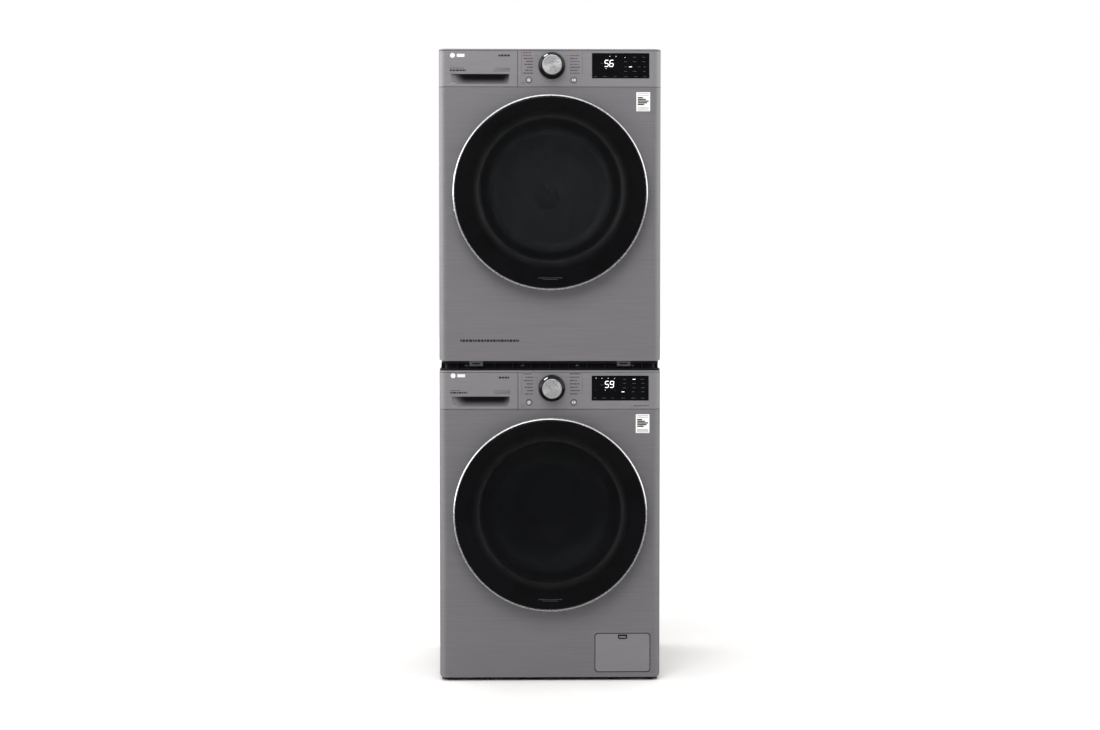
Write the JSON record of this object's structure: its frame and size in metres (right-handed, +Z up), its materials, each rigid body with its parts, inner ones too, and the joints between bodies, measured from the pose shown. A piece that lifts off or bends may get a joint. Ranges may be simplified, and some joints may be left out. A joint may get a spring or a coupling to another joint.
{
  "type": "washer dryer stack",
  "caption": "Front-loading washer with a tumble dryer stacked on top, both in graphite grey with round dark glass doors, a knob, a display and a drawer on each control band.",
  "frame": {"origin": "on the floor under the middle of the bounding box", "axes": "+Z up, +X to the right seen from the front, -Y out of the doors towards the user"},
  "size_m": [0.6, 0.688, 1.714],
  "materials": {
    "painted_steel": "graphite satin coating on sheet steel",
    "top_board": "graphite laminate on a board",
    "coil_aluminium": "finned aluminium coils and a painted compressor",
    "graphite_moulding": "satin graphite metallic moulding",
    "black_moulding": "fine matt black moulding",
    "knob_black": "polished black moulding with a turned metal cap",
    "door_chrome": "bright chrome plating on a moulded ring",
    "door_glass": "smoked glass with a black printed surround",
    "display_glass": "black glass over a display",
    "bowl_glass": "clear pressed glass",
    "stainless": "pressed and perforated stainless steel",
    "galvanised": "zinc-plated steel",
    "white_moulding": "white moulding",
    "grey_moulding": "grey moulding",
    "gasket_rubber": "soft grey rubber",
    "black_rubber": "black rubber",
    "concrete": "cast concrete",
    "motor_steel": "laminated steel and copper winding in a die-cast housing"
  },
  "bodies": {
    "casing": {"washer_cabinet": "painted_steel", "washer_top_panel": "top_board", "washer_base": "black_moulding", "washer_front_panel": "painted_steel", "washer_console": "graphite_moulding", "washer_display": "display_glass", "washer_dispenser": "white_moulding", "washer_gasket": "gasket_rubber", "washer_hinge_bracket": "galvanised", "washer_drain_pump": "black_moulding", "washer_spring_left": "galvanised", "washer_spring_right": "galvanised", "stacking_frame": "black_moulding", "dryer_cabinet": "painted_steel", "dryer_top_panel": "top_board", "dryer_base": "black_moulding", "dryer_front_panel": "painted_steel", "dryer_console": "graphite_moulding", "dryer_display": "display_glass", "dryer_bulkhead": "grey_moulding", "dryer_hinge_bracket": "galvanised", "dryer_motor": "motor_steel", "dryer_heat_pump": "coil_aluminium", "dryer_belt": "black_rubber"},
    "washer_suspended_tub": {"washer_tub": "grey_moulding", "washer_counterweight": "concrete", "washer_stator": "motor_steel", "washer_damper_left": "galvanised", "washer_damper_right": "galvanised"},
    "washer_drum": {"washer_drum": "stainless", "washer_rotor": "motor_steel"},
    "washer_door": {"washer_door_ring": "door_chrome", "washer_door_glass": "door_glass", "washer_door_frame": "black_moulding", "washer_door_bowl": "bowl_glass"},
    "washer_knob": {"washer_knob": "knob_black"},
    "washer_power_button": {"washer_power_button": "graphite_moulding"},
    "washer_start_button": {"washer_start_button": "graphite_moulding"},
    "washer_drawer": {"washer_drawer_front": "graphite_moulding", "washer_drawer_tray": "white_moulding"},
    "washer_flap": {"washer_filter_flap": "graphite_moulding"},
    "washer_filter": {"washer_drain_filter": "white_moulding"},
    "washer_foot_front_left": {"washer_foot_front_left": "black_rubber"},
    "washer_foot_front_right": {"washer_foot_front_right": "black_rubber"},
    "washer_foot_rear_left": {"washer_foot_rear_left": "black_rubber"},
    "washer_foot_rear_right": {"washer_foot_rear_right": "black_rubber"},
    "dryer_door": {"dryer_door_ring": "door_chrome", "dryer_door_glass": "door_glass", "dryer_door_frame": "black_moulding", "dryer_door_bowl": "bowl_glass"},
    "dryer_knob": {"dryer_knob": "knob_black"},
    "dryer_power_button": {"dryer_power_button": "graphite_moulding"},
    "dryer_start_button": {"dryer_start_button": "graphite_moulding"},
    "dryer_tank": {"dryer_tank_front": "graphite_moulding", "dryer_tank": "white_moulding"},
    "dryer_lint_filter": {"dryer_lint_filter": "grey_moulding"},
    "dryer_drum": {"dryer_drum": "stainless"},
    "dryer_blower": {"dryer_blower": "black_moulding"},
    "dryer_roller_left": {"dryer_roller_left": "black_rubber"},
    "dryer_roller_right": {"dryer_roller_right": "black_rubber"}
  },
  "joints": [
    {"name": "washer_door_hinge", "type": "hinge", "parent": "casing", "child": "washer_door", "pos_m": [-0.254, -0.319, 0.458], "axis": [0, 0, -1], "range_deg": [0, 150]},
    {"name": "dryer_door_hinge", "type": "hinge", "parent": "casing", "child": "dryer_door", "pos_m": [-0.254, -0.319, 1.327], "axis": [0, 0, -1], "range_deg": [0, 150]},
    {"name": "washer_knob_turn", "type": "hinge", "parent": "casing", "child": "washer_knob", "pos_m": [0.005, -0.3, 0.799], "axis": [0, 1, 0], "continuous": true},
    {"name": "dryer_knob_turn", "type": "hinge", "parent": "casing", "child": "dryer_knob", "pos_m": [0.005, -0.3, 1.669], "axis": [0, 1, 0], "continuous": true},
    {"name": "washer_power_press", "type": "slide", "parent": "casing", "child": "washer_power_button", "axis": [0, 1, 0], "range_m": [0, 0.0015], "stiffness_N_per_m": 300, "springref_m": -0.001},
    {"name": "washer_start_press", "type": "slide", "parent": "casing", "child": "washer_start_button", "axis": [0, 1, 0], "range_m": [0, 0.0015], "stiffness_N_per_m": 300, "springref_m": -0.001},
    {"name": "dryer_power_press", "type": "slide", "parent": "casing", "child": "dryer_power_button", "axis": [0, 1, 0], "range_m": [0, 0.0015], "stiffness_N_per_m": 300, "springref_m": -0.001},
    {"name": "dryer_start_press", "type": "slide", "parent": "casing", "child": "dryer_start_button", "axis": [0, 1, 0], "range_m": [0, 0.0015], "stiffness_N_per_m": 300, "springref_m": -0.001},
    {"name": "washer_drawer_slide", "type": "slide", "parent": "casing", "child": "washer_drawer", "axis": [0, -1, 0], "range_m": [0, 0.2]},
    {"name": "dryer_tank_slide", "type": "slide", "parent": "casing", "child": "dryer_tank", "axis": [0, -1, 0], "range_m": [0, 0.36]},
    {"name": "washer_tub_bounce", "type": "slide", "parent": "casing", "child": "washer_suspended_tub", "axis": [0, 0, 1], "range_m": [-0.012, 0.012], "stiffness_N_per_m": 12000, "springref_m": 0.03175, "deforming": ["washer_spring_left", "washer_spring_right", "washer_gasket"]},
    {"name": "washer_drum_spin", "type": "hinge", "parent": "washer_suspended_tub", "child": "washer_drum", "pos_m": [0, 0, 0.466], "axis": [0, 1, 0], "continuous": true},
    {"name": "washer_flap_hinge", "type": "hinge", "parent": "casing", "child": "washer_flap", "pos_m": [0.19775, -0.296, 0.0235], "axis": [1, 0, 0], "range_deg": [0, 90]},
    {"name": "washer_filter_twist", "type": "hinge", "parent": "casing", "child": "washer_filter", "pos_m": [0.18, -0.27, 0.076], "axis": [0, -1, 0], "range_deg": [0, 180]},
    {"name": "washer_foot_front_left_level", "type": "slide", "parent": "casing", "child": "washer_foot_front_left", "axis": [0, 0, -1], "range_m": [0, 0.012]},
    {"name": "washer_foot_front_right_level", "type": "slide", "parent": "casing", "child": "washer_foot_front_right", "axis": [0, 0, -1], "range_m": [0, 0.012]},
    {"name": "washer_foot_rear_left_level", "type": "slide", "parent": "casing", "child": "washer_foot_rear_left", "axis": [0, 0, -1], "range_m": [0, 0.012]},
    {"name": "washer_foot_rear_right_level", "type": "slide", "parent": "casing", "child": "washer_foot_rear_right", "axis": [0, 0, -1], "range_m": [0, 0.012]},
    {"name": "dryer_lint_filter_lift", "type": "slide", "parent": "casing", "child": "dryer_lint_filter", "axis": [0, 0, 1], "range_m": [0, 0.11]},
    {"name": "dryer_drum_spin", "type": "hinge", "parent": "casing", "child": "dryer_drum", "pos_m": [0, 0, 1.335], "axis": [0, 1, 0], "continuous": true},
    {"name": "dryer_blower_spin", "type": "hinge", "parent": "casing", "child": "dryer_blower", "pos_m": [0.17, 0, 0.975], "axis": [0, 1, 0], "continuous": true},
    {"name": "dryer_roller_left_spin", "type": "hinge", "parent": "casing", "child": "dryer_roller_left", "pos_m": [-0.17116, 0, 1.09057], "axis": [0, 1, 0], "continuous": true},
    {"name": "dryer_roller_right_spin", "type": "hinge", "parent": "casing", "child": "dryer_roller_right", "pos_m": [0.17116, 0, 1.09057], "axis": [0, 1, 0], "continuous": true}
  ],
  "couplings": [
    {"joint": "dryer_blower_spin", "follows": "dryer_drum_spin", "ratio": 24.6},
    {"joint": "dryer_roller_left_spin", "follows": "dryer_drum_spin", "ratio": -8.93},
    {"joint": "dryer_roller_right_spin", "follows": "dryer_drum_spin", "ratio": -8.93}
  ]
}
